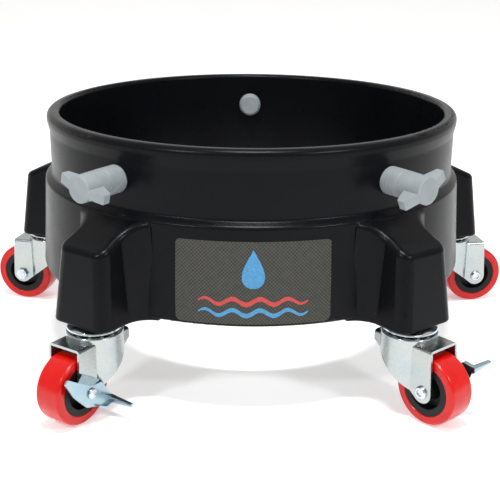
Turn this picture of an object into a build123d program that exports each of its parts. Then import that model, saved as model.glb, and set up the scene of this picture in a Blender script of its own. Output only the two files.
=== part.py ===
from build123d import *
from math import cos, radians, sin
import os

# Bucket dolly: a moulded ring that holds a wash bucket on five swivel casters.
# Millimetres, +Z up. The origin is on the floor under the ring's axis, and -Y is the labelled front.

os.makedirs("parts", exist_ok=True)

# Legs, as angles from the front towards +X, with the way each wheel trails from its stem.
LEGS = {
    "front_left": (-36.0, -34.2),
    "front_right": (36.0, 40.0),
    "right": (108.0, 99.6),
    "back": (180.0, 86.0),
    "left": (-108.0, -104.0),
}
BRAKED = {"front_left": 0.0, "front_right": 187.0}  # how far each brake lever is turned
FIRST_LEG = 18.0  # the legs stand 72 degrees apart, starting this far round from +X

# Ring moulding
RIM_TOP = 191.5
RIM_RADIUS = 163.5
BAND_RADIUS = 161.8
WAIST_RADIUS = 167.0
WAIST_Z = 139.3
BAND_FOOT_Z = 142.6
SKIRT_RADIUS = 171.5
RING_BOTTOM = 69.2
WELL_RADIUS = 153.5
SEAT_Z = 75.5
SEAT_HOLE_RADIUS = 115.0
SEAT_FILLET = 13.0
CORE_WALL = 4.5  # wall thickness left by the cores
CORE_TOP = 131.0
CORE_RIB_PAIRS = 10
RIB = 3.0

# Leg pods, measured outwards (u) and sideways from each leg's centre line
POD_BOTTOM = 67.0
POD_LOFT_TOP = 145.0
POD_REACH = (207.2, 198.6)  # outer face at the bottom and at the loft's top
POD_HALF = (25.6, 19.2)  # half width at the bottom and at the loft's top
POD_CORNER = 9.0
POD_ROOT = 158.0
ROOF_EDGE = (201.3, 121.2)
ROOF_RISE = 0.47
ROOF_ROUND = 5.0
BOSS_RADIUS = 11.0
POCKET_TOP = 112.0
POCKET_NEAR = 173.5

# Label recess and plate
LABEL_ARC = 36.6
LABEL_Z = (71.8, 130.0)
LABEL_PROUD = 0.5
LABEL_CORNER = 4.0

# Casters, in their own frame: x along the trail from the stem, z up from the floor
STEM_CIRCLE = 189.2
STEM_RADIUS = 4.73
STEM_TOP = 90.0
COLLAR_RADIUS = 7.0
INSERT_TOP = 94.0
INSERT_RADIUS = 7.0
WHEEL_RADIUS = 25.4
WHEEL_HALF = 10.7
HUB_RADIUS = 18.55
HUB_RECESS = 13.4
HUB_BOSS = 7.6
HUB_WEB = 3.0
BUSH_HALF = 11.9
BUSH_RADIUS = 5.0
TRAIL = 25.1
PIN_RADIUS = 3.0
RUNNING = 0.06  # radial clearance of each turning fit
SEATED = 0.03  # radial clearance where wheel pieces sit in one another
GAP = 0.3  # between faces that turn past each other

# Stamped fork
STEEL = 1.8
FORK_TOP = 57.8
FORK_HALF = 14.0
FORK_REACH = 30.2
FORK_TOE = 8.0  # round end of each side about the axle
FORK_NOSE = (-20.4, 50.6)  # where the sides' leading edge meets the head
HEAD_RADIUS = 20.3
HEAD_TOP = 60.8
RACE_RADIUS = 19.4
RACE_FLAT = 13.0
RACE_RIM_Z = 62.6
RACE_STEEL = 1.5
BALL_RADIUS = 2.0
BALL_CIRCLE = 15.5
BALL_Z = 61.95
BALL_COUNT = 12
AXLE_HEAD = 4.7

# Brake lever, in the wheel's plane with the axle at the origin
LEVER_IN = 16.7
LEVER_STEEL = 1.3
LEVER_OUT = LEVER_IN + LEVER_STEEL
TONGUE_OUT = 37.0

# Thumbscrews
SCREW_Z = 163.5
SCREW_RADIUS = 10.0
SCREW_CLEARANCE = 0.08
THREAD_PITCH = 1.5
THREAD_DEPTH = 0.4
SCREW_LENGTH = 44.0
THREAD_START = 21.0
WING_TIP = 20.0
WING_THICK = 6.8
SCREWS = {  # leg angle, radius of the head face from the ring's axis, and tilt of the wings
    "front_left": (-36.0, 198.2, -14.0),
    "front_right": (36.0, 198.2, 24.0),
    "back": (180.0, 188.6, 15.0),
}


def spoke(angle):
    """Unit vector pointing outwards at an angle from the front."""
    return Vector(sin(radians(angle)), -cos(radians(angle)), 0)


def leg_side(angle):
    """Upright plane through a leg: local x is outwards, local y is up."""
    return Plane(origin=(0, 0, 0), x_dir=spoke(angle), z_dir=-spoke(angle + 90))


def on(at, plane):
    """A plane given in a caster's own frame, where that caster stands."""
    return Plane(at * plane.location)


def turned(plane):
    """The axis along a plane's own x direction."""
    return Axis(plane.origin, plane.x_dir)


def pod_outline(reach, half, root_half):
    """Plan of a pod, with flares where its sides run into the ring."""
    flare_start = 181.0
    flare_end = flare_start - 16.0
    with BuildLine() as outline:
        FilletPolyline(
            (flare_start, half), (reach, half), (reach, -half), (flare_start, -half), radius=POD_CORNER
        )
        for side in (1, -1):
            ThreePointArc(
                (flare_start, side * half),
                (flare_start - 9.6, side * (half + 0.29 * (root_half - half))),
                (flare_end, side * root_half),
            )
            Line((flare_end, side * root_half), (POD_ROOT, side * root_half))
        Line((POD_ROOT, root_half), (POD_ROOT, -root_half))
    return outline


def ring_profile():
    """Half section of the ring: seat, well wall, rim, band, waist and skirt."""
    with BuildLine() as profile:
        FilletPolyline(
            (SEAT_HOLE_RADIUS, RING_BOTTOM),
            (SKIRT_RADIUS, RING_BOTTOM),
            (WAIST_RADIUS, WAIST_Z),
            (BAND_RADIUS, BAND_FOOT_Z),
            (BAND_RADIUS, 177.0),
            (RIM_RADIUS, 184.5),
            (RIM_RADIUS, RIM_TOP),
            (WELL_RADIUS, RIM_TOP),
            (WELL_RADIUS, SEAT_Z),
            (SEAT_HOLE_RADIUS, SEAT_Z),
            radius=[1.5, 2.5, 3.4, 2.4, 9.0, 5.0, 4.6, 3.0, SEAT_FILLET, 2.0],
            close=True,
        )
    return profile


# One leg pod along +X
with BuildPart() as pod:
    for z, reach, half in zip((POD_BOTTOM, POD_LOFT_TOP), POD_REACH, POD_HALF):
        with BuildSketch(Plane.XY.offset(z)):
            add(pod_outline(reach, half, half + 13.0).line)
            make_face()
    loft()
    with BuildSketch(Plane.XZ):
        with BuildLine():
            Polyline(
                (215.0, ROOF_EDGE[1] - ROOF_RISE * (215.0 - ROOF_EDGE[0])),
                (150.0, ROOF_EDGE[1] + ROOF_RISE * (ROOF_EDGE[0] - 150.0)),
                (150.0, 200.0),
                (215.0, 200.0),
                close=True,
            )
        make_face()
    extrude(amount=60, both=True, mode=Mode.SUBTRACT)
    roof = pod.faces().sort_by(Axis.Z)[-1]
    fillet(roof.edges().filter_by(lambda e: e.center().X > POD_ROOT + 1), radius=ROOF_ROUND)
    base = pod.faces().sort_by(Axis.Z)[0]
    fillet(base.edges().filter_by(lambda e: e.center().X > POD_ROOT + 1), radius=2.0)

# The hollow under one pod, around its stem boss and cross ribs
with BuildPart() as pocket:
    for z, inset in ((POD_BOTTOM - 5, 0.0), (POCKET_TOP, 4.4)):
        far = POD_REACH[0] - CORE_WALL - inset
        with BuildSketch(Plane.XY.offset(z)):
            with Locations(((POCKET_NEAR + far) / 2, 0)):
                RectangleRounded(far - POCKET_NEAR, 2 * (POD_HALF[0] - CORE_WALL) - 1.5 * inset, 4.5)
    loft()
    with BuildSketch(Plane.XY.offset(POD_BOTTOM)):
        with Locations((STEM_CIRCLE, 0)):
            Circle(BOSS_RADIUS)
            Rectangle(60.0, RIB)
            Rectangle(RIB, 60.0)
    extrude(amount=POCKET_TOP - POD_BOTTOM, mode=Mode.SUBTRACT)

# The hollow under the skirt, divided by radial ribs
with BuildPart() as channel:
    with BuildSketch(Plane.XZ):
        with BuildLine():
            Polyline(
                (WELL_RADIUS + CORE_WALL, RING_BOTTOM - 5),
                (SKIRT_RADIUS - CORE_WALL, RING_BOTTOM - 5),
                (WAIST_RADIUS - CORE_WALL, CORE_TOP),
                (WELL_RADIUS + CORE_WALL, CORE_TOP),
                close=True,
            )
        make_face()
    revolve(axis=Axis.Z)
    with BuildSketch(Plane.XY.offset(RING_BOTTOM - 5)):
        with PolarLocations(0, CORE_RIB_PAIRS, start_angle=9, angular_range=180, endpoint=False):
            Rectangle(2 * SKIRT_RADIUS, RIB)
    extrude(amount=CORE_TOP - RING_BOTTOM + 10, mode=Mode.SUBTRACT)

with BuildPart() as dolly_ring:
    with BuildSketch(Plane.XZ):
        add(ring_profile().line)
        make_face()
    revolve(axis=Axis.Z)
    with PolarLocations(0, len(LEGS), start_angle=FIRST_LEG):
        add(pod.part)
        add(pocket.part, mode=Mode.SUBTRACT)
    add(channel.part, mode=Mode.SUBTRACT)
    with BuildSketch(Plane.XY.offset(POD_BOTTOM - 5)):
        with PolarLocations(STEM_CIRCLE, len(LEGS), start_angle=FIRST_LEG):
            Circle(INSERT_RADIUS)
    extrude(amount=INSERT_TOP - POD_BOTTOM + 5, mode=Mode.SUBTRACT)
    for screw_angle, _, _ in SCREWS.values():
        hole_start = spoke(screw_angle) * 140 + Vector(0, 0, SCREW_Z)
        with BuildSketch(Plane(origin=hole_start, z_dir=spoke(screw_angle))):
            Circle(SCREW_RADIUS + SCREW_CLEARANCE)
        extrude(amount=40, mode=Mode.SUBTRACT)
dolly_ring.part.label = "dolly_ring"
export_step(dolly_ring.part, "parts/dolly_ring.step")

# Label, a thin plate wrapped on the skirt between its rounded corners
skirt_slope = (WAIST_RADIUS - SKIRT_RADIUS) / (WAIST_Z - RING_BOTTOM)
label_low = SKIRT_RADIUS + skirt_slope * (LABEL_Z[0] - RING_BOTTOM)
label_high = SKIRT_RADIUS + skirt_slope * (LABEL_Z[1] - RING_BOTTOM)
with BuildPart() as front_label:
    with BuildSketch(leg_side(-LABEL_ARC / 2)):
        with BuildLine():
            Polyline(
                (label_low, LABEL_Z[0]),
                (label_low + LABEL_PROUD, LABEL_Z[0]),
                (label_high + LABEL_PROUD, LABEL_Z[1]),
                (label_high, LABEL_Z[1]),
                close=True,
            )
        make_face()
    revolve(axis=Axis.Z, revolution_arc=LABEL_ARC)
    with BuildSketch(Plane.XZ.offset(100)):
        with Locations((0, sum(LABEL_Z) / 2)):
            label_width = 2 * label_high * sin(radians(LABEL_ARC / 2)) + 1.6
            RectangleRounded(label_width, LABEL_Z[1] - LABEL_Z[0], LABEL_CORNER)
    extrude(amount=100, mode=Mode.INTERSECT)
front_label.part.label = "front_label"
export_step(front_label.part, "parts/front_label.step")


def make_insert():
    """Threaded metal sleeves moulded into the five bosses."""
    with BuildPart() as inserts:
        with BuildSketch(Plane.XY.offset(POD_BOTTOM)):
            with PolarLocations(STEM_CIRCLE, len(LEGS), start_angle=FIRST_LEG):
                Circle(INSERT_RADIUS)
        extrude(amount=INSERT_TOP - POD_BOTTOM)
        with BuildSketch(Plane.XY.offset(POD_BOTTOM)):
            with PolarLocations(STEM_CIRCLE, len(LEGS), start_angle=FIRST_LEG):
                Circle(STEM_RADIUS)
        extrude(amount=STEM_TOP + GAP - POD_BOTTOM, mode=Mode.SUBTRACT)
    return inserts.part


def make_stem(at):
    """King pin: head under the fork, collar over it, then the stem up into the leg."""
    with BuildPart() as stem:
        with BuildSketch(on(at, Plane.XZ)):
            with BuildLine():
                Polyline(
                    (0, HEAD_TOP - 5.7),
                    (8.0, HEAD_TOP - 5.7),
                    (9.0, HEAD_TOP - 5.0),
                    (9.0, HEAD_TOP - 3.2 - GAP),
                    (STEM_RADIUS, HEAD_TOP - 3.2 - GAP),
                    (STEM_RADIUS, HEAD_TOP + GAP),
                    (COLLAR_RADIUS, HEAD_TOP + GAP),
                    (COLLAR_RADIUS, POD_BOTTOM - RACE_STEEL),
                    (STEM_RADIUS, POD_BOTTOM - RACE_STEEL),
                    (STEM_RADIUS, STEM_TOP - 1.0),
                    (STEM_RADIUS - 1.0, STEM_TOP),
                    (0, STEM_TOP),
                    close=True,
                )
            make_face()
        revolve(axis=Axis(at.position, (0, 0, 1)))
    return stem.part


def make_race(at):
    """Top race: a dished washer against the leg that covers the balls."""
    slope_x = RACE_RADIUS - 0.6
    with BuildPart() as race:
        with BuildSketch(on(at, Plane.XZ)):
            with BuildLine():
                FilletPolyline(
                    (STEM_RADIUS, POD_BOTTOM - RACE_STEEL),
                    (RACE_FLAT, POD_BOTTOM - RACE_STEEL),
                    (slope_x, RACE_RIM_Z),
                    (RACE_RADIUS + 0.3, RACE_RIM_Z + 0.3),
                    (RACE_RADIUS, RACE_RIM_Z + RACE_STEEL),
                    (RACE_FLAT + 0.7, POD_BOTTOM),
                    (STEM_RADIUS, POD_BOTTOM),
                    radius=[0.1, 2.0, 0.3, 0.3, 0.4, 1.5, 0.1],
                    close=True,
                )
            make_face()
        revolve(axis=Axis(at.position, (0, 0, 1)))
    return race.part


def make_balls(places):
    """Swivel balls of every caster."""
    with BuildPart() as balls:
        for at in places:
            with Locations(at * Location((0, 0, BALL_Z))):
                with PolarLocations(BALL_CIRCLE, BALL_COUNT):
                    Sphere(BALL_RADIUS)
    return balls.part


def axle_plane(at):
    """Plane at the wheel's centre: local x is along the axle, local y is up."""
    return on(at, Plane(origin=(TRAIL, 0, WHEEL_RADIUS), x_dir=(0, 1, 0), z_dir=(1, 0, 0)))


def make_fork(at):
    """Stamped fork: two sides under a top plate, flared round its raised swivel head."""
    with BuildPart() as fork:
        with BuildSketch(on(at, Plane.YZ.offset(-HEAD_RADIUS))):
            with BuildLine():
                FilletPolyline(
                    (FORK_HALF, 10.0),
                    (FORK_HALF, FORK_TOP),
                    (-FORK_HALF, FORK_TOP),
                    (-FORK_HALF, 10.0),
                    (STEEL - FORK_HALF, 10.0),
                    (STEEL - FORK_HALF, FORK_TOP - STEEL),
                    (FORK_HALF - STEEL, FORK_TOP - STEEL),
                    (FORK_HALF - STEEL, 10.0),
                    radius=[0.3, 2.4, 2.4, 0.3, 0.3, 0.8, 0.8, 0.3],
                    close=True,
                )
            make_face()
        extrude(amount=HEAD_RADIUS + FORK_REACH + 4)
        with BuildSketch(on(at, Plane.XY.offset(10.0))):
            Circle(HEAD_RADIUS)
        extrude(amount=HEAD_TOP - 10.0)
        fillet(fork.edges().group_by(Axis.Z)[-1], radius=1.1)
        with BuildSketch(on(at, Plane.XY.offset(10.0))):
            Circle(HEAD_RADIUS - STEEL)
        extrude(amount=HEAD_TOP - 3.2 - 10.0, mode=Mode.SUBTRACT)
        with BuildSketch(on(at, Plane.XY.offset(10.0))):
            with Locations((FORK_HALF + 20.0, 0)):
                Rectangle(40.0, 2 * (FORK_HALF - STEEL))
        extrude(amount=FORK_TOP - STEEL - 10.0, mode=Mode.SUBTRACT)
        with BuildSketch(on(at, Plane.XZ.offset(-30))):
            with Locations((TRAIL, WHEEL_RADIUS)):
                Circle(FORK_TOE)
            with BuildLine():
                Polyline(FORK_NOSE, (FORK_NOSE[0], 70.0), (FORK_REACH, 70.0), (FORK_REACH, 58.0), close=True)
            make_face()
            make_hull()
        extrude(amount=60, mode=Mode.INTERSECT)
        with BuildSketch(on(at, Plane.XZ)):
            with Locations((TRAIL, WHEEL_RADIUS)):
                Circle(PIN_RADIUS)
        extrude(amount=20, both=True, mode=Mode.SUBTRACT)
        with BuildSketch(on(at, Plane.XZ)):
            with Locations((BALL_CIRCLE, BALL_Z)):
                Circle(BALL_RADIUS + GAP)
        revolve(axis=Axis(at.position, (0, 0, 1)), mode=Mode.SUBTRACT)
        with BuildSketch(on(at, Plane.XY.offset(10.0))):
            Circle(STEM_RADIUS + RUNNING)
        extrude(amount=60.0, mode=Mode.SUBTRACT)
    return fork.part


def make_axle(at, end):
    """Axle bolt: a recessed round head, then the plain shank out to its end."""
    plane = axle_plane(at)
    with BuildPart() as axle:
        with BuildSketch(plane):
            with BuildLine():
                Polyline(
                    (-FORK_HALF - 1.1, 0),
                    (-FORK_HALF - 1.1, 2.2),
                    (-FORK_HALF - 2.0, 2.5),
                    (-FORK_HALF - 2.0, AXLE_HEAD - 0.9),
                    (-FORK_HALF - 1.1, AXLE_HEAD),
                    (-FORK_HALF, AXLE_HEAD),
                    (-FORK_HALF, PIN_RADIUS),
                    (end, PIN_RADIUS),
                    (end, 0),
                    close=True,
                )
            make_face()
        revolve(axis=turned(plane))
    return axle.part


def make_nut(at):
    """Hexagon nut against the fork's side."""
    with BuildPart() as nut:
        with BuildSketch(on(at, Plane.XZ.offset(-FORK_HALF))):
            with Locations((TRAIL, WHEEL_RADIUS)):
                RegularPolygon(radius=AXLE_HEAD + 0.4, side_count=6)
                Circle(PIN_RADIUS, mode=Mode.SUBTRACT)
        extrude(amount=-2.6)
    return nut.part


def make_cap(at):
    """Domed end that keeps the brake lever on the axle."""
    plane = axle_plane(at)
    start = LEVER_OUT + GAP
    with BuildPart() as cap:
        with BuildSketch(plane):
            with BuildLine():
                Line((start + 0.6, 0), (start + 0.6, PIN_RADIUS))
                Line((start + 0.6, PIN_RADIUS), (start, PIN_RADIUS))
                Line((start, PIN_RADIUS), (start, 3.9))
                Line((start, 3.9), (start + 0.6, 3.9))
                Spline(
                    (start + 0.6, 3.9), (start + 1.5, 2.6), (start + 1.9, 0), tangents=((1, 0), (0, -1))
                )
                Line((start + 1.9, 0), (start + 0.6, 0))
            make_face()
        revolve(axis=turned(plane))
    return cap.part


def make_washer(at):
    """Spacer between the fork's side and the brake lever."""
    with BuildPart() as washer:
        with BuildSketch(on(at, Plane.XZ.offset(-FORK_HALF))):
            with Locations((TRAIL, WHEEL_RADIUS)):
                Circle(5.5)
                Circle(PIN_RADIUS, mode=Mode.SUBTRACT)
        extrude(amount=-(LEVER_IN - GAP - FORK_HALF))
    return washer.part


def make_hub(at):
    """Wheel core: a rim and a long boss joined by a thin web."""
    plane = axle_plane(at)
    bore = BUSH_RADIUS + SEATED
    with BuildPart() as hub:
        with BuildSketch(plane):
            with BuildLine():
                FilletPolyline(
                    (-HUB_BOSS - 4.0, bore),
                    (-HUB_BOSS - 4.0, HUB_BOSS),
                    (-HUB_WEB, HUB_BOSS),
                    (-HUB_WEB, HUB_RECESS),
                    (0.4 - WHEEL_HALF, HUB_RECESS),
                    (0.4 - WHEEL_HALF, HUB_RADIUS),
                    (WHEEL_HALF - 0.4, HUB_RADIUS),
                    (WHEEL_HALF - 0.4, HUB_RECESS),
                    (HUB_WEB, HUB_RECESS),
                    (HUB_WEB, HUB_BOSS),
                    (HUB_BOSS + 4.0, HUB_BOSS),
                    (HUB_BOSS + 4.0, bore),
                    radius=[0.2, 0.4, 1.2, 1.2, 0.6, 0.2, 0.2, 0.6, 1.2, 1.2, 0.4, 0.2],
                    close=True,
                )
            make_face()
        revolve(axis=turned(plane))
    return hub.part


def make_tread(at):
    """Cast tread with a slight crown and rounded shoulders."""
    plane = axle_plane(at)
    bore = HUB_RADIUS + SEATED
    with BuildPart() as tread:
        with BuildSketch(plane):
            with BuildLine():
                FilletPolyline(
                    (-WHEEL_HALF + 0.4, bore),
                    (-WHEEL_HALF, HUB_RADIUS + 0.5),
                    (-WHEEL_HALF, WHEEL_RADIUS - 0.35),
                    (0, WHEEL_RADIUS + 0.02),
                    (WHEEL_HALF, WHEEL_RADIUS - 0.35),
                    (WHEEL_HALF, HUB_RADIUS + 0.5),
                    (WHEEL_HALF - 0.4, bore),
                    radius=[0.1, 0.2, 2.2, 60.0, 2.2, 0.2, 0.1],
                    close=True,
                )
            make_face()
        revolve(axis=turned(plane))
    return tread.part


def make_bush(at):
    """Steel bush pressed into the hub."""
    with BuildPart() as bush:
        with BuildSketch(on(at, Plane.XZ.offset(-BUSH_HALF))):
            with Locations((TRAIL, WHEEL_RADIUS)):
                Circle(BUSH_RADIUS)
                Circle(PIN_RADIUS + RUNNING, mode=Mode.SUBTRACT)
        extrude(amount=2 * BUSH_HALF)
    return bush.part


def lever_plane(at, turn, out):
    """Plane in the lever's plate, this far out from the wheel's middle, turned about the axle."""
    across = Vector(cos(radians(turn)), 0, sin(radians(turn)))
    return on(at, Plane(origin=(TRAIL, out, WHEEL_RADIUS), x_dir=across, z_dir=(0, -1, 0)))


def make_lever(at, turn):
    """Side brake: a lobed plate on the axle, a slanted wing above it and a toe tongue."""
    with BuildPart() as lever:
        with BuildSketch(lever_plane(at, turn, LEVER_OUT)):
            with BuildLine():
                FilletPolyline(
                    (22.0, 19.0),
                    (24.4, 16.0),
                    (17.5, 3.9),
                    (5.4, -8.9),
                    (-3.3, -11.4),
                    (-12.2, -16.0),
                    (-21.7, -13.5),
                    (-17.5, -5.0),
                    (-10.4, 4.6),
                    (-4.2, 5.0),
                    (-2.0, 3.9),
                    (12.7, 13.0),
                    radius=[1.6, 1.6, 8.0, 6.0, 4.0, 5.0, 2.0, 8.0, 3.0, 0.8, 0.8, 3.0],
                    close=True,
                )
            make_face()
            Circle(PIN_RADIUS + RUNNING, mode=Mode.SUBTRACT)
        extrude(amount=LEVER_STEEL)
        # lip along the lower edge, which runs out into the tongue
        with BuildSketch(lever_plane(at, turn, LEVER_OUT + 2.6)):
            with BuildLine():
                FilletPolyline(
                    (-3.9, -11.7),
                    (-12.3, -16.1),
                    (-21.8, -13.6),
                    (-21.2, -12.2),
                    (-12.2, -14.7),
                    (-4.6, -10.6),
                    radius=[0.4, 5.0, 0.4, 0.4, 4.0, 0.4],
                    close=True,
                )
            make_face()
        extrude(amount=2.6 + LEVER_STEEL)
        for out, low, high in ((LEVER_IN, -14.0, -9.6), (TONGUE_OUT, -13.4, -11.0)):
            with BuildSketch(lever_plane(at, turn, out)):
                with Locations((-19.4, (low + high) / 2)):
                    RectangleRounded(high - low + 1.2, high - low, 1.0)
        loft()
        # wing folded from the top edge, leaning in over the fork
        with BuildSketch(lever_plane(at, turn, LEVER_OUT)):
            with BuildLine():
                Polyline((12.3, 11.6), (12.7, 13.2), (-1.8, 4.3), (-1.0, 3.4), close=True)
            make_face()
        with BuildSketch(lever_plane(at, turn, LEVER_OUT - 1.7)):
            with BuildLine():
                Polyline((6.2, 14.9), (6.5, 16.4), (-9.8, 6.4), (-9.4, 5.2), close=True)
            make_face()
        loft()
    return lever.part


def screw_plane(angle, face, tilt):
    """Plane through a thumbscrew: local x runs inwards from its head, local y along its wings."""
    wings = spoke(angle + 90) * cos(radians(tilt)) + Vector(0, 0, sin(radians(tilt)))
    origin = spoke(angle) * face + Vector(0, 0, SCREW_Z)
    return Plane(origin=origin, x_dir=-spoke(angle), z_dir=(-spoke(angle)).cross(wings))


def make_screw(angle, face, tilt):
    """Thumbscrew: round head, two wings, a plain barrel and a threaded end."""
    plane = screw_plane(angle, face, tilt)
    turns = int((SCREW_LENGTH - 2.5 - THREAD_START) / THREAD_PITCH)
    with BuildPart() as screw:
        with BuildSketch(plane):
            with BuildLine():
                points = [(0, 0), (0, 8.9), (0.7, 9.6), (THREAD_START, SCREW_RADIUS)]
                for k in range(turns):
                    root = THREAD_START + (k + 0.5) * THREAD_PITCH
                    points.append((root, SCREW_RADIUS - THREAD_DEPTH))
                    points.append((root + THREAD_PITCH / 2, SCREW_RADIUS))
                points += [(SCREW_LENGTH - 2.2, SCREW_RADIUS), (SCREW_LENGTH, 8.0), (SCREW_LENGTH, 0)]
                Polyline(*points, close=True)
            make_face()
        revolve(axis=turned(plane))
        with BuildSketch(plane):
            with BuildLine():
                FilletPolyline(
                    (0.4, 8.6),
                    (3.4, WING_TIP),
                    (9.6, WING_TIP),
                    (14.5, 8.0),
                    (14.5, -8.0),
                    (9.6, -WING_TIP),
                    (3.4, -WING_TIP),
                    (0.4, -8.6),
                    radius=[0.6, 0.9, 0.9, 1.0, 1.0, 0.9, 0.9, 0.6],
                    close=True,
                )
            make_face()
        extrude(amount=WING_THICK / 2, both=True)
    return screw.part


def save(part, name):
    part.label = name
    export_step(part, f"parts/{name}.step")


places = {}
for leg, (leg_angle, trail_angle) in LEGS.items():
    frame = Plane(origin=spoke(leg_angle) * STEM_CIRCLE, x_dir=spoke(trail_angle), z_dir=(0, 0, 1))
    places[leg] = frame.location

save(make_insert(), "leg_inserts")
save(make_balls(places.values()), "bearing_balls")
for leg, at in places.items():
    save(make_stem(at), f"caster_stem_{leg}")
    save(make_race(at), f"top_race_{leg}")
    save(make_fork(at), f"fork_{leg}")
    save(make_hub(at), f"wheel_hub_{leg}")
    save(make_tread(at), f"wheel_tread_{leg}")
    save(make_bush(at), f"wheel_bush_{leg}")
    if leg in BRAKED:
        save(make_axle(at, LEVER_OUT + GAP + 0.6), f"axle_{leg}")
        save(make_cap(at), f"axle_nut_{leg}")
        save(make_washer(at), f"brake_washer_{leg}")
        save(make_lever(at, BRAKED[leg]), f"brake_lever_{leg}")
    else:
        save(make_axle(at, FORK_HALF + 3.0), f"axle_{leg}")
        save(make_nut(at), f"axle_nut_{leg}")
for name, (screw_angle, face, tilt) in SCREWS.items():
    save(make_screw(screw_angle, face, tilt), f"thumbscrew_{name}")
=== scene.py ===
from math import cos, pi, radians, sin, tau

import bpy
from mathutils import Matrix, Vector


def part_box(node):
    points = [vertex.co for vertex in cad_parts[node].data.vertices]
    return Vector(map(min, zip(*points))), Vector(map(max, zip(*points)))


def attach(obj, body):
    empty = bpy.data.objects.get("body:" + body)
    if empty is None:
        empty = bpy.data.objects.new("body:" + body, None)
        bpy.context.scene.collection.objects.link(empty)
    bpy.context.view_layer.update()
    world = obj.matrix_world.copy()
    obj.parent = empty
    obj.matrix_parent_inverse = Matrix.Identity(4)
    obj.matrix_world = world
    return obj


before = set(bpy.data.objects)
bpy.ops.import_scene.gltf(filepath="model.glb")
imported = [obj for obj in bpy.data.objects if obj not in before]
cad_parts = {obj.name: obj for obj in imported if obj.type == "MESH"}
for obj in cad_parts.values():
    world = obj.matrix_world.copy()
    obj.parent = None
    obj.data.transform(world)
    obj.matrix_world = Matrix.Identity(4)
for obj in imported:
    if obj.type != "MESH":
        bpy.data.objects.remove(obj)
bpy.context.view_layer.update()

MM = 0.001

# Camera, found by fitting the ring, legs and wheels
CAMERA_BACK = 780.5 * MM
CAMERA_UP = 336.46 * MM
CAMERA_PITCH = radians(19.067)
CAMERA_ROLL = radians(0.471)
CAMERA_YAW = radians(-0.682)
CAMERA_LENS = 69.68
CAMERA_SENSOR = 36.0
CAMERA_SHIFT = (-0.0013, -0.0007)

# Weave of the label: the product of two sines makes diagonal rows of dots
WEAVE_PITCH = 2.6 * MM

# Label artwork: a drop over two waves
ART_LIFT = 0.06 * MM
ART_THICK = 0.10 * MM
DROP_SIZE = 11.0 * MM
DROP_PLACE = 111.0 * MM
WAVE_HALF = 38.0 * MM
WAVE_RISE = 2.0 * MM
WAVE_LENGTH = 19.0 * MM
WAVE_WIDE = 3.4 * MM
WAVE_PLACES = (88.0 * MM, 80.0 * MM)

# Cove brightness by how far back a direction points: dim up to one share, bright from another
COVE = (-0.35, 0.75, 0.48, 0.84)
COVE_COLOUR = (1.0, 0.99, 0.97, 1.0)
FLOOR_GLOW = 0.36
FLOOR_HALF = 40.0

# Fine turning rings on each thumbscrew, out to this distance from the ring's axis
THREAD_PITCH = 1.0 * MM
THREAD_END = 0.176

SOFTBOXES = (  # name, place, target, size, power, colour
    ("softbox_left", (-0.95, -1.15, 1.25), (0, 0, 0.1), (0.20, 0.16), 9.0, (0.97, 0.98, 1.0)),
    ("softbox_right", (1.0, -1.05, 1.15), (0, 0, 0.1), (0.20, 0.16), 8.0, (0.97, 0.98, 1.0)),
    ("softbox_top", (0.0, -0.5, 1.6), (0, 0, 0.1), (0.40, 0.08), 20.0, (0.95, 0.97, 1.0)),
)


def add_camera():
    data = bpy.data.cameras.new("camera")
    data.lens = CAMERA_LENS
    data.sensor_width = CAMERA_SENSOR
    data.shift_x, data.shift_y = CAMERA_SHIFT
    camera = bpy.data.objects.new("camera", data)
    bpy.context.scene.collection.objects.link(camera)
    aim = Matrix.Rotation(pi / 2 - CAMERA_PITCH, 4, "X") @ Matrix.Rotation(CAMERA_ROLL, 4, "Z")
    place = Matrix.Translation((0, -CAMERA_BACK, CAMERA_UP))
    camera.matrix_world = Matrix.Rotation(CAMERA_YAW, 4, "Z") @ place @ aim
    bpy.context.scene.camera = camera


def add_light(name, place, target, size, power, colour):
    data = bpy.data.lights.new(name, "AREA")
    data.shape = "RECTANGLE"
    data.size, data.size_y = size
    data.energy = power
    data.color = colour
    light = bpy.data.objects.new(name, data)
    light.location = place
    light.rotation_euler = (Vector(target) - Vector(place)).to_track_quat("-Z", "Y").to_euler()
    bpy.context.scene.collection.objects.link(light)


def add_studio():
    """A pale cove, brighter at the back than in front, and three softboxes."""
    world = bpy.data.worlds.new("studio")
    world.use_nodes = True
    tree = world.node_tree
    direction = tree.nodes.new("ShaderNodeTexCoord")
    split = tree.nodes.new("ShaderNodeSeparateXYZ")
    shade = tree.nodes.new("ShaderNodeMapRange")
    tree.links.new(direction.outputs["Generated"], split.inputs["Vector"])
    tree.links.new(split.outputs["Y"], shade.inputs["Value"])
    for name, value in zip(("From Min", "From Max", "To Min", "To Max"), COVE):
        shade.inputs[name].default_value = value
    background = tree.nodes["Background"]
    background.inputs["Color"].default_value = COVE_COLOUR
    tree.links.new(shade.outputs["Result"], background.inputs["Strength"])
    bpy.context.scene.world = world
    for light in SOFTBOXES:
        add_light(*light)
    bpy.context.scene.view_settings.view_transform = "Standard"


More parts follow.
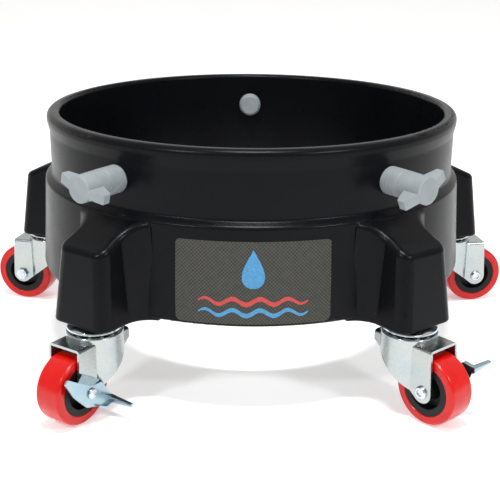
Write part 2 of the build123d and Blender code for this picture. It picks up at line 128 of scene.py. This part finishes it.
class Nodes:
    """A material's node tree, built a node at a time."""

    def __init__(self, name):
        self.material = bpy.data.materials.new(name)
        self.material.use_nodes = True
        self.tree = self.material.node_tree
        self.bsdf = self.tree.nodes["Principled BSDF"]
        self.coords = self.add("ShaderNodeTexCoord").outputs["Object"]

    def add(self, kind, **inputs):
        node = self.tree.nodes.new(kind)
        for key, value in inputs.items():
            self.put(node.inputs[key.replace("_", " ")], value)
        return node

    def put(self, socket, value):
        if isinstance(value, bpy.types.NodeSocket):
            self.tree.links.new(value, socket)
        else:
            socket.default_value = value

    def noise(self, scale, detail=3.0, roughness=0.5, vector=None):
        node = self.add("ShaderNodeTexNoise", Scale=scale, Detail=detail, Roughness=roughness)
        self.put(node.inputs["Vector"], vector or self.coords)
        return node.outputs["Fac"]

    def stretch(self, scale):
        node = self.add("ShaderNodeMapping", Scale=scale)
        self.put(node.inputs["Vector"], self.coords)
        return node.outputs["Vector"]

    def ramp(self, value, *stops):
        node = self.add("ShaderNodeValToRGB")
        self.put(node.inputs["Fac"], value)
        elements = node.color_ramp.elements
        while len(elements) < len(stops):
            elements.new(0.5)
        for element, (position, colour) in zip(elements, stops):
            element.position = position
            element.color = (*colour, 1.0) if isinstance(colour, tuple) else (colour, colour, colour, 1.0)
        return node.outputs["Color"]

    def maths(self, operation, *values):
        node = self.add("ShaderNodeMath")
        node.operation = operation
        for socket, value in zip(node.inputs, values):
            self.put(socket, value)
        return node.outputs["Value"]

    def mix(self, factor, first, second):
        node = self.add("ShaderNodeMix")
        node.data_type = "RGBA"
        self.put(node.inputs[0], factor)
        for socket, value in zip(node.inputs[6:8], (first, second)):
            self.put(socket, value if isinstance(value, bpy.types.NodeSocket) else (*value, 1.0))
        return node.outputs[2]

    def bump(self, height, strength, distance, normal=None):
        node = self.add("ShaderNodeBump", Strength=strength, Distance=distance, Height=height)
        if normal:
            self.put(node.inputs["Normal"], normal)
        return node.outputs["Normal"]

    def finish(self, **inputs):
        for key, value in inputs.items():
            socket = self.bsdf.inputs[key.replace("_", " ")]
            if socket.type == "RGBA" and isinstance(value, tuple):
                value = (*value, 1.0)
            self.put(socket, value)
        return self.material


def ring_plastic():
    """Black moulded plastic: fine spark texture, faint flow marks and soft sheen."""
    n = Nodes("ring_plastic")
    grain = n.noise(2600.0, 2.0)
    flow = n.noise(14.0, 4.0, 0.55)
    colour = n.ramp(flow, (0.3, (0.0020, 0.0022, 0.0030)), (0.75, (0.0034, 0.0036, 0.0045)))
    rough = n.ramp(n.noise(60.0, 5.0, 0.6), (0.3, 0.26), (0.8, 0.33))
    normal = n.bump(grain, 0.10, 0.0002)
    normal = n.bump(flow, 0.05, 0.002, normal)
    return n.finish(Base_Color=colour, Roughness=rough, Normal=normal, Specular_IOR_Level=0.10)


def label_vinyl():
    """Charcoal woven label: two crossed bands of threads with a slight olive cast."""
    n = Nodes("label_vinyl")
    split = n.add("ShaderNodeSeparateXYZ", Vector=n.coords)
    across = n.maths("SINE", n.maths("MULTIPLY", split.outputs["X"], tau / WEAVE_PITCH))
    along = n.maths("SINE", n.maths("MULTIPLY", split.outputs["Z"], tau / WEAVE_PITCH))
    weave = n.maths("MULTIPLY_ADD", n.maths("MULTIPLY", across, along), 0.5, 0.5)
    mottled = n.maths("MULTIPLY_ADD", n.noise(300.0, 3.0), 0.35, n.maths("MULTIPLY", weave, 0.75))
    colour = n.ramp(mottled, (0.25, (0.015, 0.015, 0.012)), (0.85, (0.056, 0.055, 0.046)))
    normal = n.bump(weave, 0.45, 0.0002)
    return n.finish(Base_Color=colour, Roughness=0.62, Normal=normal, Specular_IOR_Level=0.35)


def print_ink(name, colour):
    """Screen-printed ink that lets a little of the weave through."""
    n = Nodes(name)
    worn = n.noise(1100.0, 3.0)
    thin = tuple(0.6 * c + 0.012 for c in colour)
    shade = n.mix(n.ramp(worn, (0.35, 0.0), (0.62, 1.0)), thin, colour)
    return n.finish(Base_Color=shade, Roughness=0.5, Normal=n.bump(worn, 0.3, 0.0002))


def zinc(name, tint, rough, drift=1.0):
    """Zinc plate with clear passivation: faint crystal mottling, rolling lines and handling marks."""
    n = Nodes(name)
    cells = n.add("ShaderNodeTexVoronoi", Scale=420.0)
    n.put(cells.inputs["Vector"], n.coords)
    cloud = n.noise(55.0, 4.0, 0.6)
    shade = n.maths("MULTIPLY_ADD", cells.outputs["Distance"], 0.25, cloud)
    warm = tuple(c * m for c, m in zip(tint, (1.03, 1.02, 0.95)))
    cool = tuple(c * m for c, m in zip(tint, (0.86, 0.93, 1.0)))
    colour = n.mix(n.ramp(shade, (0.35, 0.0), (0.8, 1.0)), warm, cool)
    scratch = n.noise(180.0, 5.0, 0.7, n.stretch((1.0, 1.0, 9.0)))
    roughness = n.ramp(scratch, (0.3, rough - 0.05 * drift), (0.75, rough + 0.07 * drift))
    normal = n.bump(scratch, 0.025 * drift, 0.0003)
    return n.finish(Base_Color=colour, Metallic=1.0, Roughness=roughness, Normal=normal)


def hub_plastic():
    """Black hub moulding, duller than the ring."""
    n = Nodes("hub_plastic")
    grain = n.noise(1500.0, 3.0)
    colour = n.ramp(n.noise(40.0, 4.0), (0.3, (0.006, 0.006, 0.007)), (0.8, (0.012, 0.012, 0.012)))
    rough = n.ramp(grain, (0.3, 0.40), (0.8, 0.55))
    normal = n.bump(grain, 0.15, 0.0002)
    return n.finish(Base_Color=colour, Roughness=rough, Normal=normal, Specular_IOR_Level=0.2)


def tread_red():
    """Cast polyurethane: glossy saturated red, a little cloudy, with faint moulding waves."""
    n = Nodes("tread_red")
    cloud = n.noise(70.0, 4.0, 0.55)
    colour = n.ramp(cloud, (0.3, (0.48, 0.003, 0.0015)), (0.8, (0.57, 0.006, 0.003)))
    rough = n.ramp(n.noise(240.0, 4.0, 0.6), (0.3, 0.17), (0.8, 0.30))
    normal = n.bump(n.noise(160.0, 2.0), 0.05, 0.0006)
    return n.finish(
        Base_Color=colour,
        Roughness=rough,
        Normal=normal,
        Specular_IOR_Level=0.36,
        Subsurface_Weight=0.12,
        Subsurface_Radius=(0.004, 0.001, 0.0008),
        Subsurface_Scale=1.0,
    )


def screw_plastic():
    """Pale grey nylon, slightly waxy, with a fine eroded texture."""
    n = Nodes("screw_plastic")
    grain = n.noise(1800.0, 3.0)
    split = n.add("ShaderNodeSeparateXYZ", Vector=n.coords)
    squares = [n.maths("MULTIPLY", split.outputs[axis], split.outputs[axis]) for axis in "XY"]
    out = n.maths("SQRT", n.maths("ADD", *squares))
    rings = n.maths("SINE", n.maths("MULTIPLY", out, tau / THREAD_PITCH))
    threaded = n.maths("MULTIPLY", rings, n.maths("LESS_THAN", out, THREAD_END))
    colour = n.ramp(n.noise(90.0, 4.0), (0.3, (0.215, 0.240, 0.250)), (0.8, (0.260, 0.285, 0.295)))
    rough = n.ramp(grain, (0.3, 0.42), (0.8, 0.55))
    return n.finish(
        Base_Color=colour,
        Roughness=rough,
        Normal=n.bump(threaded, 0.5, 0.0003, n.bump(grain, 0.12, 0.0002)),
        Subsurface_Weight=0.06,
        Subsurface_Radius=(0.002, 0.002, 0.002),
    )


def add_floor():
    """Plain pale floor with a faint glow, so that it stays white far from the lights."""
    n = Nodes("studio_floor")
    colour = n.ramp(n.noise(3.0), (0.3, 0.90), (0.8, 0.93))
    glow = {"Emission_Color": (1.0, 1.0, 1.0), "Emission_Strength": FLOOR_GLOW}
    material = n.finish(Base_Color=colour, Roughness=0.6, **glow)
    mesh = bpy.data.meshes.new("studio_floor")
    corners = [(-FLOOR_HALF, -FLOOR_HALF, 0), (FLOOR_HALF, -FLOOR_HALF, 0)]
    corners += [(FLOOR_HALF, FLOOR_HALF, 0), (-FLOOR_HALF, FLOOR_HALF, 0)]
    mesh.from_pydata(corners, [], [(0, 1, 2, 3)])
    mesh.materials.append(material)
    floor = bpy.data.objects.new("studio_floor", mesh)
    bpy.context.scene.collection.objects.link(floor)


def dress(material, *starts):
    """Gives a material to each CAD node whose name starts with one of these."""
    for name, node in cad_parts.items():
        if not name.startswith(starts):
            continue
        slots = node.data.materials
        if not slots:
            slots.append(material)
        for k in range(len(slots)):
            slots[k] = material


class Wrap:
    """Places flat artwork on the label's drafted face: x along its arc, z up."""

    def __init__(self):
        low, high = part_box("front_label")
        rim = [v.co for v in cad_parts["front_label"].data.vertices if v.co.z > high.z - 0.5 * MM]
        self.low, self.high = low.z, high.z
        self.radii = (-low.y, max(co.xy.length for co in rim))

    def point(self, x, z, lift):
        share = (z - self.low) / (self.high - self.low)
        radius = self.radii[0] + share * (self.radii[1] - self.radii[0]) + lift
        turn = x / radius
        return (radius * sin(turn), -radius * cos(turn), z)


def add_artwork(name, wrap, material, shape, rows, columns):
    """A thin printed patch: shape gives (x, z) for shares across and along it."""
    mesh = bpy.data.meshes.new(name)
    points = [
        wrap.point(*shape(c / columns, r / rows), ART_LIFT)
        for r in range(rows + 1)
        for c in range(columns + 1)
    ]
    wide = columns + 1
    faces = [
        (r * wide + c, r * wide + c + 1, (r + 1) * wide + c + 1, (r + 1) * wide + c)
        for r in range(rows)
        for c in range(columns)
    ]
    mesh.from_pydata(points, [], faces)
    mesh.materials.append(material)
    patch = bpy.data.objects.new(name, mesh)
    bpy.context.scene.collection.objects.link(patch)
    skin = patch.modifiers.new("thickness", "SOLIDIFY")
    skin.thickness = ART_THICK
    skin.offset = 0.0
    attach(patch, "dolly")


def drop(across, along):
    """A water drop, round below and pointed above."""
    turn = pi * (0.02 + 0.96 * along)
    half = DROP_SIZE * sin(turn) * sin(turn / 2) ** 1.4
    return ((2 * across - 1) * half, DROP_PLACE + DROP_SIZE * 1.25 * cos(turn))


def wave(height):
    """A strip that rises and falls along the label."""

    def shape(across, along):
        x = (2 * across - 1) * WAVE_HALF
        taper = sin(pi * (0.01 + 0.98 * across)) ** 0.35
        return (x, height + WAVE_RISE * sin(x / WAVE_LENGTH * tau) + (along - 0.5) * WAVE_WIDE * taper)

    return shape


def add_label_art():
    """Prints the label: a blue drop over a red wave and a blue wave."""
    wrap = Wrap()
    blue = print_ink("ink_blue", (0.05, 0.25, 0.48))
    red = print_ink("ink_red", (0.50, 0.035, 0.03))
    add_artwork("label_drop", wrap, blue, drop, 48, 16)
    add_artwork("label_wave_upper", wrap, red, wave(WAVE_PLACES[0]), 3, 96)
    add_artwork("label_wave_lower", wrap, blue, wave(WAVE_PLACES[1]), 3, 96)


add_camera()
add_studio()
add_floor()
dress(ring_plastic(), "dolly_ring")
dress(label_vinyl(), "front_label")
dress(zinc("fork_zinc", (0.44, 0.455, 0.44), 0.25), "fork_")
dress(zinc("race_zinc", (0.66, 0.68, 0.70), 0.18, 0.6), "top_race_", "bearing_balls")
dress(zinc("stem_zinc", (0.60, 0.62, 0.64), 0.24), "caster_stem_", "leg_inserts")
dress(zinc("axle_steel", (0.60, 0.62, 0.63), 0.26), "axle_", "brake_washer_", "wheel_bush_")
dress(zinc("lever_zinc", (0.38, 0.48, 0.53), 0.30), "brake_lever_")
dress(hub_plastic(), "wheel_hub_")
dress(tread_red(), "wheel_tread_")
dress(screw_plastic(), "thumbscrew_")
add_label_art()
